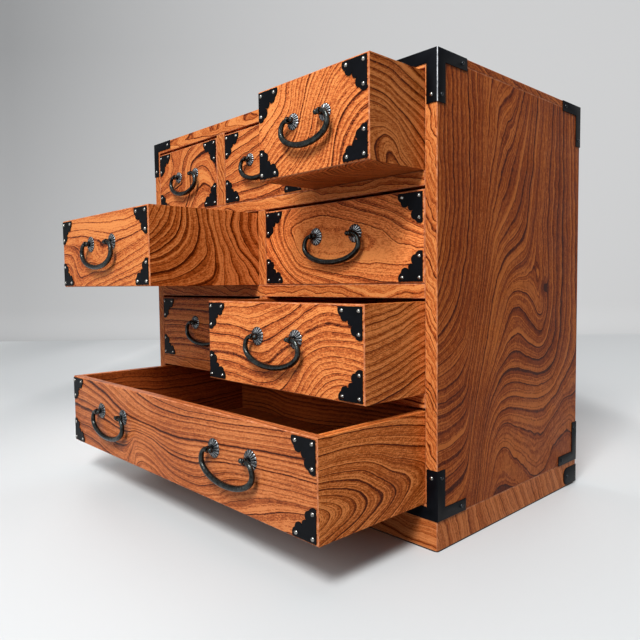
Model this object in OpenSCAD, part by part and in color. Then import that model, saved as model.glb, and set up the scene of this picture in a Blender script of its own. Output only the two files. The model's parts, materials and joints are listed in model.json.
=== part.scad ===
// Small Japanese chest of eight drawers in keyaki wood with iron fittings, on a low plinth.
// X runs to the right, Y to the back and Z up. The origin is the centre of the underside.

/* [Case] */
// Width of the case over its side boards
case_w = 450; // [400:1:520]
// Depth of the case from its front edges to its back
case_d = 254; // [220:1:300]
// Thickness of the two side boards
side_t = 12; // [9:0.5:16]
// Thickness of the top board
top_t = 13; // [10:0.5:18]
// Thickness of the top board's lap over the side boards
top_lap = 6.5; // [3:0.5:9]
// Thickness of the bottom board
bottom_t = 12; // [9:0.5:16]
// Thickness of the back panel
back_t = 6; // [4:0.5:10]
// Thickness of the three shelves
shelf_t = 12; // [9:0.5:16]
// Thickness of the two dividers in the top row
top_divider_t = 15; // [10:0.5:18]
// Thickness of the dividers in the two middle rows
divider_t = 12; // [9:0.5:16]

/* [Rows] */
// Height of the top row's bays
top_row_h = 80.5; // [74:0.5:95]
// Height of the upper middle row's bays
upper_row_h = 79; // [74:0.5:95]
// Height of the lower middle row's bays
lower_row_h = 78.5; // [74:0.5:95]
// Height of the long drawer's bay
long_row_h = 80; // [74:0.5:95]

/* [Plinth] */
// Height of the plinth boards
plinth_h = 25; // [18:0.5:40]
// Thickness of the plinth boards
plinth_t = 12; // [9:0.5:18]
// Thickness of the felt sheet under the plinth
felt_t = 1; // [0.5:0.1:2]
// Distance from the plinth's outside to the felt's edge
felt_inset = 0.5; // [0:0.1:3]
// Corner radius of the felt sheet
felt_r = 4; // [1:0.5:8]

/* [Drawers] */
// Thickness of the drawer fronts
front_t = 8.5; // [7:0.5:12]
// Thickness of the drawer sides and backs
box_t = 8.5; // [6:0.5:12]
// Thickness of the drawer bottoms
base_t = 4.5; // [3:0.5:7]
// Chamfer round the face of a drawer front
front_chamfer = 0.8; // [0.3:0.1:1.5]
// Gap between a drawer and the boards at its sides
side_gap = 0.5; // [0.3:0.1:1.5]
// Gap between a drawer and the board above it
top_gap = 2.5; // [1:0.1:4]
// Gap between a drawer and the board that it slides on
floor_gap = 0.3; // [0.2:0.1:1]
// Gap between a closed drawer and the back panel
back_gap = 0.5; // [0.3:0.1:2]
// Joint line between boards of one group
glue_gap = 0.1; // [0.05:0.05:0.2]

/* [How far each drawer stands open] */
// Top left drawer
top_left_open = 0; // [0:0.5:150]
// Top middle drawer
top_middle_open = 0; // [0:0.5:150]
// Top right drawer
top_right_open = 65.5; // [0:0.5:150]
// Upper left drawer
upper_left_open = 127.5; // [0:0.5:150]
// Upper right drawer
upper_right_open = 0; // [0:0.5:150]
// Lower left drawer
lower_left_open = 0; // [0:0.5:150]
// Lower right drawer
lower_right_open = 72.5; // [0:0.5:150]
// Long drawer
long_open = 121; // [0:0.5:150]

/* [Drawer corner irons] */
// Length of each leg of a corner plate
plate_leg = 25.5; // [20:0.5:30]
// Thickness of the plates
plate_t = 0.8; // [0.5:0.1:1.5]
// Distance from the drawer front's edges to the plates
plate_inset = 1.6; // [1:0.1:4]
// Radius of the lobe at the end of each leg
end_lobe_r = 5.2; // [4:0.1:6]
// Radius of the second lobe of each leg
side_lobe_r = 4.3; // [3:0.1:5]
// Radius of the lobe on the plate's diagonal
middle_lobe_r = 3.1; // [2.5:0.1:4]
// Distance from the plate's edges to its nails
plate_nail_inset = 3.3; // [2.8:0.1:4]
// Distance from a leg's end to its nail
plate_nail_end = 4.5; // [3:0.1:6]

/* [Nails] */
// Radius of a nail's domed head
nail_r = 1.8; // [1.5:0.1:2.6]
// Height of a nail's domed head
nail_h = 1.3; // [0.8:0.1:1.5]
// Gap that parts a nail's head from its iron
nail_seat = 0.05; // [0.02:0.01:0.1]

/* [Case irons] */
// Width of the strap irons on the case's corners
strap_w = 10.2; // [8:0.1:11]
// Length of the straps' upright legs
strap_up = 42; // [34:0.5:50]
// Length of the straps' level legs
strap_along = 40.5; // [34:0.5:50]
// Thickness of the straps
strap_t = 0.8; // [0.5:0.1:1.5]
// Distance from a leg's end to its nail
strap_nail_inset = 6.5; // [4:0.1:9]
// Length of the plinth irons along each face
heel_l = 28; // [20:0.5:36]
// Height of the plinth irons
heel_h = 18.5; // [15:0.5:20]
// Distance from the plinth boards' bottom edge to the irons
heel_lift = 1; // [0.5:0.5:4]
// Radius of the plinth irons' free corners
heel_r = 7.5; // [4:0.5:9]

/* [Pulls] */
// Distance between the posts of a large pull
large_span = 51.3; // [46:0.1:58]
// Distance from a large pull's posts out to its bail's centre line at its widest
large_out = 10.05; // [8:0.05:13]
// Depth below its posts of a large bail's centre line
large_drop = 25.2; // [22:0.1:28]
// Radius of a large pull's rosettes
large_rosette_r = 8.5; // [7:0.1:9.5]
// Height of a large pull's posts above the middle of the drawer front
large_lift = 7.5; // [4:0.1:9]
// Distance between the posts of a small pull
small_span = 37.9; // [34:0.1:42]
// Distance from a small pull's posts out to its bail's centre line at its widest
small_out = 8.85; // [7:0.05:11]
// Depth below its posts of a small bail's centre line
small_drop = 22.2; // [19:0.1:24]
// Radius of a small pull's rosettes
small_rosette_r = 7; // [5.5:0.1:8]
// Height of a small pull's posts above the middle of the drawer front
small_lift = 4.5; // [2:0.1:7]
// Distance from the long drawer's middle to each of its pulls
long_pull_x = 110; // [80:1:130]
// Distance from a drawer front to the axis that a bail turns on
reach = 6.2; // [5.8:0.1:8]
// Radius of a bail's bar at its lowest point
bar_r = 2.6; // [2.2:0.1:3]
// Radius of a bail's bar at its shoulders
neck_r = 1.9; // [1.8:0.05:2.1]
// Radius of a bail's pins, in the eyes of its posts
pin_r = 1.45; // [1.2:0.05:1.6]
// Radial clearance of the pins in the eyes
pin_gap = 0.25; // [0.2:0.05:0.4]
// Radius of the knobs on the bail's ends
knob_r = 2.2; // [2:0.1:2.5]
// Gap between an eye and the knob or shoulder beside it
eye_gap = 0.8; // [0.3:0.05:1]
// Thickness of the ring of an eye
eye_wall = 1.25; // [1:0.05:1.5]
// Width of an eye along its axis
eye_w = 2.4; // [1.8:0.1:3]
// Radius of a post's shank
shank_r = 1.3; // [1:0.1:1.5]
// Clearance round a shank in the rosette and the drawer front
shank_gap = 0.1; // [0.05:0.05:0.2]
// Length of each clinched leg inside a drawer front
clinch_l = 7; // [5:0.5:9]
// Thickness of the clinched legs
clinch_t = 1; // [0.8:0.1:1.4]
// Number of petals of a rosette
petals = 16; // [10:2:18]
// Height of a rosette at its centre
rosette_h = 2.9; // [2:0.1:3]
// Height of a rosette at its rim
rosette_rim_h = 0.8; // [0.5:0.1:1.2]
// Depth of the flutes between the petals
flute = 0.55; // [0.3:0.05:0.7]

/* [Hidden] */
$fn = 48;
// Sides of a bail's bar
bail_sides = 12;
// Share of a bail's drop at which it is widest
widest_share = 0.38;
// Share of the straps' thickness that is bevelled off at their folds
fold_share = 0.75;
// Distance that a cutting shape reaches past what it cuts
past = 1;

inner_w = case_w - 2 * side_t;
left_x = -inner_w / 2;
front_y = -case_d / 2;
case_z = felt_t + plinth_h;
long_z = case_z + bottom_t;
lower_z = long_z + long_row_h + shelf_t;
upper_z = lower_z + lower_row_h + shelf_t;
top_row_z = upper_z + upper_row_h + shelf_t;
lid_z = top_row_z + top_row_h;
case_top = lid_z + top_t;
bay_d = case_d - back_t;
drawer_l = bay_d - back_gap;
third_w = (inner_w - 2 * top_divider_t) / 3;
half_w = (inner_w - divider_t) / 2;
eye_hole_r = pin_r + pin_gap;
eye_r = eye_hole_r + eye_wall;
knob_x = eye_w / 2 + eye_gap + knob_r;
shoulder_x = eye_w / 2 + eye_gap;

// Pulls: span, half width, drop, rosette radius and lift
SMALL = [small_span, small_span / 2 + small_out, small_drop, small_rosette_r, small_lift];
LARGE = [large_span, large_span / 2 + large_out, large_drop, large_rosette_r, large_lift];
ONE_PULL = [["bail", 0]];
TWO_PULLS = [["bail_left", -long_pull_x], ["bail_right", long_pull_x]];

// Drawers: name, bay's left end, floor, width and height, opening, pull, names and places of its bails
DRAWERS = [
    ["top_left", left_x, top_row_z, third_w, top_row_h, top_left_open, SMALL, ONE_PULL],
    ["top_middle", left_x + third_w + top_divider_t, top_row_z, third_w, top_row_h,
        top_middle_open, SMALL, ONE_PULL],
    ["top_right", left_x + 2 * (third_w + top_divider_t), top_row_z, third_w, top_row_h,
        top_right_open, SMALL, ONE_PULL],
    ["upper_left", left_x, upper_z, half_w, upper_row_h, upper_left_open, LARGE, ONE_PULL],
    ["upper_right", left_x + half_w + divider_t, upper_z, half_w, upper_row_h,
        upper_right_open, LARGE, ONE_PULL],
    ["lower_left", left_x, lower_z, half_w, lower_row_h, lower_left_open, LARGE, ONE_PULL],
    ["lower_right", left_x + half_w + divider_t, lower_z, half_w, lower_row_h,
        lower_right_open, LARGE, ONE_PULL],
    ["long", left_x, long_z, inner_w, long_row_h, long_open, LARGE, TWO_PULLS]
];

CASE_NODES = [
    "side_left", "side_right", "top_board", "bottom_board", "back_panel",
    "shelf_upper", "shelf_middle", "shelf_lower",
    "divider_top_left", "divider_top_right", "divider_upper", "divider_lower",
    "plinth", "base_felt", "corner_irons_front", "corner_irons_rear", "plinth_irons", "case_nails"
];
DRAWER_NODES = [for (d = DRAWERS) for (p = ["front", "box", "irons", "posts"]) node_name(d, p)];
BAIL_NODES = [for (d = DRAWERS) for (b = bails(d)) node_name(d, b[0])];

function node_name(d, piece) = str(d[0], "_", piece);
function bay_x(d) = d[1];
function bay_z(d) = d[2];
function drawer_w(d) = d[3] - 2 * side_gap;
function drawer_h(d) = d[4] - top_gap - floor_gap;
function opened(d) = d[5];
function pull(d) = d[6];
function bails(d) = d[7];
function span(p) = p[0];
function half_bail(p) = p[1];
function drop(p) = p[2];
function rosette_r(p) = p[3];
function lift(p) = p[4];

// Case boards

module case_board(x, y, z, w, d, h) {
    color("sienna")
        translate([x, y, z])
            cube([w, d, h]);
}

module side_board(x) {
    case_board(x, front_y, case_z, side_t, case_d, case_top - top_lap - case_z);
}

module side_left() {
    side_board(-case_w / 2);
}

module side_right() {
    side_board(case_w / 2 - side_t);
}

// The top board's ends lap over the side boards
module top_board() {
    color("sienna")
        union() {
            translate([-case_w / 2, front_y, case_top - top_lap])
                cube([case_w, case_d, top_lap]);
            translate([left_x, front_y, lid_z])
                cube([inner_w, case_d, top_t]);
        }
}

module bottom_board() {
    case_board(left_x, front_y, case_z, inner_w, case_d, bottom_t);
}

module back_panel() {
    case_board(left_x, front_y + bay_d, long_z, inner_w, back_t, lid_z - long_z);
}

module shelf(z) {
    case_board(left_x, front_y, z - shelf_t, inner_w, bay_d, shelf_t);
}

module shelf_upper() {
    shelf(top_row_z);
}

module shelf_middle() {
    shelf(upper_z);
}

module shelf_lower() {
    shelf(lower_z);
}

module divider(x, z, w, h) {
    case_board(x, front_y, z, w, bay_d, h);
}

module divider_top_left() {
    divider(left_x + third_w, top_row_z, top_divider_t, top_row_h);
}

module divider_top_right() {
    divider(left_x + 2 * third_w + top_divider_t, top_row_z, top_divider_t, top_row_h);
}

module divider_upper() {
    divider(left_x + half_w, upper_z, divider_t, upper_row_h);
}

module divider_lower() {
    divider(left_x + half_w, lower_z, divider_t, lower_row_h);
}

// Plinth and felt

// One mitred board, its outer face along y = 0, with a joint line taken off each end
module plinth_board(l, trim) {
    linear_extrude(plinth_h)
        polygon([
            [-l / 2 + trim, 0],
            [l / 2 - trim, 0],
            [l / 2 - plinth_t - trim, plinth_t],
            [-l / 2 + plinth_t + trim, plinth_t]
        ]);
}

module plinth() {
    color("saddlebrown")
        for (turn = [0, 180])
            rotate([0, 0, turn])
                translate([0, 0, felt_t]) {
                    translate([0, front_y, 0])
                        plinth_board(case_w, glue_gap);
                    rotate([0, 0, 90])
                        translate([0, -case_w / 2, 0])
                            plinth_board(case_d, 0);
                }
}

module rounded_sheet(w, d, r) {
    square([w - 2 * r, d], center = true);
    square([w, d - 2 * r], center = true);
    for (x = [-1, 1])
        for (y = [-1, 1])
            translate([x * (w / 2 - r), y * (d / 2 - r)])
                circle(r);
}

module base_felt() {
    color("black")
        linear_extrude(felt_t)
            rounded_sheet(case_w - 2 * felt_inset, case_d - 2 * felt_inset, felt_r);
}

// Nails

// A domed head on the plane y = 0, facing the front
module nail_head() {
    ball_r = (nail_r * nail_r + nail_h * nail_h) / (2 * nail_h);
    rotate([90, 0, 0])
        translate([0, 0, nail_seat])
            rotate_extrude()
                intersection() {
                    translate([0, nail_h - ball_r])
                        circle(ball_r);
                    square([nail_r + past, nail_h + past]);
                }
}

// Case irons

// Puts a shape for the right-hand corner on both front or both rear corners
module both_sides(rear) {
    for (side = [0, 1])
        mirror([side, 0, 0])
            mirror([0, rear ? 1 : 0, 0])
                translate([case_w / 2, front_y, 0])
                    children();
}

// Puts a shape for a corner's top end on its top and its bottom end
module both_ends() {
    translate([0, 0, case_top])
        children();
    translate([0, 0, case_z])
        mirror([0, 0, 1])
            children();
}

// Section of an iron at its fold, bevelled outside
module fold() {
    difference() {
        translate([0, -strap_t])
            square(strap_t);
        translate([strap_t, -strap_t])
            rotate(45)
                square(strap_t * fold_share * sqrt(2), center = true);
    }
}

// A folded strap on the case's corner, its outer edge at the origin
module strap() {
    for (leg = [[strap_w, strap_up], [strap_along, strap_w]])
        translate([0, 0, -leg[1]])
            linear_extrude(leg[1]) {
                translate([-leg[0], -strap_t])
                    square([leg[0], strap_t]);
                square([strap_t, leg[0]]);
                fold();
            }
}

module strap_nails() {
    for (place = [
        [strap_w / 2, strap_up - strap_nail_inset],
        [strap_along - strap_nail_inset, strap_w / 2]
    ]) {
        translate([-place[0], -strap_t, -place[1]])
            nail_head();
        translate([strap_t, place[0], -place[1]])
            rotate([0, 0, 90])
                nail_head();
    }
}

module corner_irons(rear) {
    color("#15171c")
        both_sides(rear)
            both_ends()
                strap();
}

module corner_irons_front() {
    corner_irons(false);
}

module corner_irons_rear() {
    corner_irons(true);
}

// One leg of a plinth iron, square at x = 0 and rounded at its free end
module heel_outline() {
    square([heel_l - heel_r, heel_h]);
    translate([0, heel_r])
        square([heel_l, heel_h - 2 * heel_r]);
    for (z = [heel_r, heel_h - heel_r])
        translate([heel_l - heel_r, z])
            circle(heel_r);
}

module heel() {
    translate([0, 0, felt_t + heel_lift]) {
        mirror([1, 0, 0])
            rotate([90, 0, 0])
                linear_extrude(strap_t)
                    heel_outline();
        rotate([0, 0, 90])
            rotate([90, 0, 0])
                linear_extrude(strap_t)
                    heel_outline();
        linear_extrude(heel_h)
            fold();
    }
}

module heel_nails() {
    place = heel_l - heel_r;
    translate([0, 0, felt_t + heel_lift + heel_h / 2]) {
        translate([-place, -strap_t, 0])
            nail_head();
        translate([strap_t, place, 0])
            rotate([0, 0, 90])
                nail_head();
    }
}

module plinth_irons() {
    color("#15171c")
        both_sides(true)
            heel();
}

module case_nails() {
    color("gray")
        for (rear = [false, true])
            both_sides(rear)
                both_ends()
                    strap_nails();
    color("gray")
        both_sides(true)
            heel_nails();
}

// Drawers: each is drawn from its lower left corner at the face of its front

module in_place(d) {
    translate([bay_x(d) + side_gap, front_y - opened(d), bay_z(d) + floor_gap])
        children();
}

// The middle of each of the drawer's pulls, on the axis that its bail turns on
module at_pull(d, x) {
    translate([drawer_w(d) / 2 + x, -reach, drawer_h(d) / 2 + lift(pull(d))])
        children();
}

// Both posts of each of the drawer's pulls
module at_posts(d) {
    for (b = bails(d))
        for (side = [-1, 1])
            at_pull(d, b[1] + side * span(pull(d)) / 2)
                children();
}

// A prism that takes the corner off an edge of length l along X
module edge_cut(l) {
    rotate([45, 0, 0])
        translate([-past, -front_chamfer / sqrt(2), -front_chamfer / sqrt(2)])
            cube([l + 2 * past, front_chamfer * sqrt(2), front_chamfer * sqrt(2)]);
}

module drawer_front(d) {
    w = drawer_w(d);
    h = drawer_h(d);
    color("chocolate")
        in_place(d)
            difference() {
                cube([w, front_t, h]);
                edge_cut(w);
                translate([0, 0, h])
                    edge_cut(w);
                rotate([0, -90, 0])
                    edge_cut(h);
                translate([w, 0, 0])
                    rotate([0, -90, 0])
                        edge_cut(h);
                at_posts(d)
                    rotate([-90, 0, 0])
                        cylinder(r = shank_r + shank_gap, h = reach + front_t + past);
            }
}

// Two sides, a back and a bottom, all behind the drawer's front
module drawer_box(d) {
    w = drawer_w(d);
    h = drawer_h(d);
    color("peru")
        in_place(d) {
            for (x = [0, w - box_t])
                translate([x, front_t, 0])
                    cube([box_t, drawer_l - front_t, h]);
            translate([box_t + glue_gap, drawer_l - box_t, base_t + glue_gap])
                cube([w - 2 * box_t - 2 * glue_gap, box_t, h - base_t - glue_gap]);
            translate([box_t + glue_gap, front_t, 0])
                cube([w - 2 * box_t - 2 * glue_gap, drawer_l - front_t, base_t]);
        }
}

// A plate's outline: a lobe at the end of each leg, one beside it and one on the diagonal
module plate_outline() {
    end = plate_leg - end_lobe_r;
    end_rise = end_lobe_r / 2;
    beside = end - side_lobe_r / 2;
    rise = end_lobe_r + side_lobe_r / 2;
    middle = beside - side_lobe_r * 3 / 2;
    intersection() {
        square(plate_leg);
        union() {
            for (place = [[end, end_rise], [end_rise, end]])
                translate(place)
                    circle(end_lobe_r);
            for (place = [[beside, rise], [rise, beside]])
                translate(place)
                    circle(side_lobe_r);
            translate([middle, middle])
                circle(middle_lobe_r);
            polygon([[0, 0], [end, 0], [end, end_rise], [beside, rise], [middle, middle],
                [rise, beside], [end_rise, end], [0, end]]);
        }
    }
}

module plate() {
    rotate([90, 0, 0])
        linear_extrude(plate_t)
            plate_outline();
}

module plate_nails() {
    far = plate_leg - plate_nail_end;
    for (place = [
        [plate_nail_inset, plate_nail_inset],
        [far, plate_nail_inset],
        [plate_nail_inset, far]
    ])
        translate([place[0], -plate_t, place[1]])
            nail_head();
}

module drawer_irons(d) {
    w = drawer_w(d);
    h = drawer_h(d);
    in_place(d)
        for (right = [0, 1])
            for (upper = [0, 1])
                translate([right * w, 0, upper * h])
                    mirror([right, 0, 0])
                        mirror([0, 0, upper])
                            translate([plate_inset, 0, plate_inset]) {
                                color("#15171c")
                                    plate();
                                color("silver")
                                    plate_nails();
                            }
}

// A fluted rosette on the plane z = 0 with a hole for the post's shank
module rosette(r) {
    n = 2 * petals;
    hole = shank_r + shank_gap;
    // Rings of points: radius at the petals, pull-in of the flutes, height, depth of the flutes
    rings = [
        [hole, 0, 0, 0],
        [r, 0.5, 0, 0],
        [r, 0.5, rosette_rim_h, flute / 2],
        [r * 0.72, 0, rosette_rim_h + (rosette_h - rosette_rim_h) * 0.3, flute],
        [r * 0.42, 0, rosette_rim_h + (rosette_h - rosette_rim_h) * 0.75, flute * 0.6],
        [hole, 0, rosette_h, 0]
    ];
    m = len(rings);
    points = [
        for (ring = rings)
            for (i = [0 : n - 1])
                let (
                    dip = i % 2,
                    a = i * 360 / n,
                    rad = ring[0] - dip * ring[1]
                )
                [rad * cos(a), rad * sin(a), ring[2] - dip * ring[3]]
    ];
    faces = [
        for (j = [0 : m - 1])
            for (i = [0 : n - 1])
                let (
                    k = (j + 1) % m,
                    p = j * n + i,
                    q = j * n + (i + 1) % n,
                    s = k * n + (i + 1) % n,
                    t = k * n + i
                )
                each [[p, s, q], [p, t, s]]
    ];
    polyhedron(points, faces, convexity = 4);
}

// An eye with its shank through the drawer front and two clinched legs inside
module post() {
    inside = reach + front_t;
    rotate([0, 90, 0])
        difference() {
            cylinder(r = eye_r, h = eye_w, center = true);
            cylinder(r = eye_hole_r, h = eye_w + past, center = true);
        }
    translate([0, eye_r - eye_wall / 2, 0])
        rotate([-90, 0, 0])
            cylinder(r = shank_r, h = inside + clinch_t - eye_r + eye_wall / 2);
    translate([-clinch_l, inside, -shank_r / 2])
        cube([2 * clinch_l, clinch_t, shank_r]);
}

module drawer_posts(d) {
    in_place(d)
        at_posts(d) {
            color("#3a3a3a")
                translate([0, reach, 0])
                    rotate([90, 0, 0])
                        rosette(rosette_r(pull(d)));
            color("#303030")
                post();
        }
}

// Bails

// Centre line of a bail, from its right shoulder round the bottom to its left one
function bail_line(p) =
    let (
        widest = drop(p) * widest_share,
        shoulder = span(p) / 2 + shoulder_x,
        turn = half_bail(p) - shoulder,
        right = [for (a = [90 : -18 : 18]) [shoulder + turn * cos(a), widest * (sin(a) - 1)]],
        low = [for (a = [0 : 12 : 180]) [half_bail(p) * cos(a), -widest - (drop(p) - widest) * sin(a)]],
        left = [for (i = [len(right) - 1 : -1 : 0]) [-right[i][0], right[i][1]]]
    )
    concat(right, low, left);

// Direction of the line at point i, level at both ends
function line_dir(line, i) =
    (i == 0 || i == len(line) - 1)
        ? [1, 0]
        : let (v = line[i + 1] - line[i - 1]) v / norm(v);

// Radius of the bar at a height below the posts
function bar_at(p, z) = neck_r + (bar_r - neck_r) * sin(90 * min(1, -z / drop(p)));

// The bar as a tube of rings along its centre line
module bail_bar(p) {
    line = bail_line(p);
    last = len(line) - 1;
    m = bail_sides;
    points = [
        for (i = [0 : last])
            let (v = line_dir(line, i), r = bar_at(p, line[i][1]))
            for (j = [0 : m - 1])
                let (a = j * 360 / m)
                [line[i][0] - v[1] * r * cos(a), r * sin(a), line[i][1] + v[0] * r * cos(a)]
    ];
    walls = [
        for (i = [0 : last - 1])
            for (j = [0 : m - 1])
                let (
                    a = i * m + j,
                    b = i * m + (j + 1) % m
                )
                each [[a, b, b + m], [a, b + m, a + m]]
    ];
    ends = [
        [for (j = [m - 1 : -1 : 0]) j],
        [for (j = [0 : m - 1]) last * m + j]
    ];
    polyhedron(points, concat(walls, ends), convexity = 4);
}

// A bail with a pin and a knob at each end, inside the posts
module bail(d, x) {
    p = pull(d);
    knob = span(p) / 2 - knob_x;
    color("#2a2a2a")
        in_place(d)
            at_pull(d, x) {
                bail_bar(p);
                for (side = [-1, 1]) {
                    translate([side * (knob + (span(p) / 2 + shoulder_x + neck_r - knob) / 2), 0, 0])
                        rotate([0, 90, 0])
                            cylinder(r = pin_r, h = span(p) / 2 + shoulder_x + neck_r - knob, center = true);
                    translate([side * knob, 0, 0])
                        sphere(knob_r);
                }
            }
}

// What is drawn

side_left();
side_right();
top_board();
bottom_board();
back_panel();
shelf_upper();
shelf_middle();
shelf_lower();
divider_top_left();
divider_top_right();
divider_upper();
divider_lower();
plinth();
base_felt();
corner_irons_front();
corner_irons_rear();
plinth_irons();
case_nails();
for (d = DRAWERS) {
    drawer_front(d);
    drawer_box(d);
    drawer_irons(d);
    drawer_posts(d);
    for (b = bails(d))
        bail(d, b[1]);
}
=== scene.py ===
"""Looks for a small tansu chest: figured keyaki wood, black irons, domed nails and gunmetal bail pulls."""

import json
import math

import bpy
import numpy as np
from mathutils import Matrix, Vector

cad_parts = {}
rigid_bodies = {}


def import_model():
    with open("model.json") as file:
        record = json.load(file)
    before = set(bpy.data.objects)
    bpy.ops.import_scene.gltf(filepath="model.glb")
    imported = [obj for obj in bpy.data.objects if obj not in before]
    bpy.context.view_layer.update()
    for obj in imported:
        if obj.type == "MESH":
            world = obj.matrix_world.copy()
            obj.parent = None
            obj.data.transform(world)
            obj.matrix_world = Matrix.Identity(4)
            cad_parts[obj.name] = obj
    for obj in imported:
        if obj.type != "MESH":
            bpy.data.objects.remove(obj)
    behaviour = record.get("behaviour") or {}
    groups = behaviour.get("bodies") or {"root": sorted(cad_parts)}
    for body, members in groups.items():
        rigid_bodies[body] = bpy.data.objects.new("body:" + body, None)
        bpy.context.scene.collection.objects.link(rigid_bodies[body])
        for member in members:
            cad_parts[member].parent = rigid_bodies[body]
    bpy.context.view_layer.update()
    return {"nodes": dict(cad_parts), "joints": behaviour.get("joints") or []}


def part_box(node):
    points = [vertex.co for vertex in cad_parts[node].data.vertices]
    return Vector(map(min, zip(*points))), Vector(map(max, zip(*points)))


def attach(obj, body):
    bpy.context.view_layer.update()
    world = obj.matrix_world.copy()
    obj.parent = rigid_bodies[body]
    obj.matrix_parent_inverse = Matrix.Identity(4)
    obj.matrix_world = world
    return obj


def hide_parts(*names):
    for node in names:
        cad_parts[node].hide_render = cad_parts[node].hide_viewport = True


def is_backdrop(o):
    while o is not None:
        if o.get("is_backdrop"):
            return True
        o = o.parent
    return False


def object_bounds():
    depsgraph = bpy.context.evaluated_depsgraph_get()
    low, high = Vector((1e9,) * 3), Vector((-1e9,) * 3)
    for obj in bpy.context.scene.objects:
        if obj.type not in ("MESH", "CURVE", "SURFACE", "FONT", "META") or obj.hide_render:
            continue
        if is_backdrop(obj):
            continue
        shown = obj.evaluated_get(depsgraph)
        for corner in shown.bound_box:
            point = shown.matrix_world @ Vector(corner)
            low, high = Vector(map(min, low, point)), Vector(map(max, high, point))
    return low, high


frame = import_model()
nodes = frame["nodes"]
hinges = {j["child"]: j for j in frame["joints"] if j["type"] == "hinge"}
scene = bpy.context.scene
scene.view_settings.view_transform = "Standard"

# Camera, at the photograph's view. Lengths are in metres and angles in radians.

LENS_MM, SENSOR_MM = 34.413, 36
NEAREST, FARTHEST = 0.01, 50
EYE = Vector((0.516455, -0.530005, 0.221862))
YAW, PITCH, ROLL = -0.8158, -0.0600, -0.0113

camera_data = bpy.data.cameras.new("camera")
camera_data.sensor_fit = "HORIZONTAL"
camera_data.sensor_width = SENSOR_MM
camera_data.lens = LENS_MM
camera_data.clip_start = NEAREST
camera_data.clip_end = FARTHEST
camera = bpy.data.objects.new("camera", camera_data)
scene.collection.objects.link(camera)
forward = Vector((math.sin(YAW) * math.cos(PITCH), math.cos(YAW) * math.cos(PITCH), math.sin(PITCH)))
level = Vector((math.cos(YAW), -math.sin(YAW), 0))
up = level.cross(forward)
right = math.cos(ROLL) * level + math.sin(ROLL) * up
upright = -math.sin(ROLL) * level + math.cos(ROLL) * up
camera.matrix_world = Matrix((
    (right.x, upright.x, -forward.x, EYE.x),
    (right.y, upright.y, -forward.y, EYE.y),
    (right.z, upright.z, -forward.z, EYE.z),
    (0, 0, 0, 1),
))
scene.camera = camera


# Material helpers

MM = 1000.0  # millimetres in a metre


def tone(r, g, b):
    """An sRGB colour, 0 to 255, as a linear colour."""
    def linear(c):
        c /= 255
        return c / 12.92 if c <= 0.04045 else ((c + 0.055) / 1.055) ** 2.4
    return (linear(r), linear(g), linear(b), 1)


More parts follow.
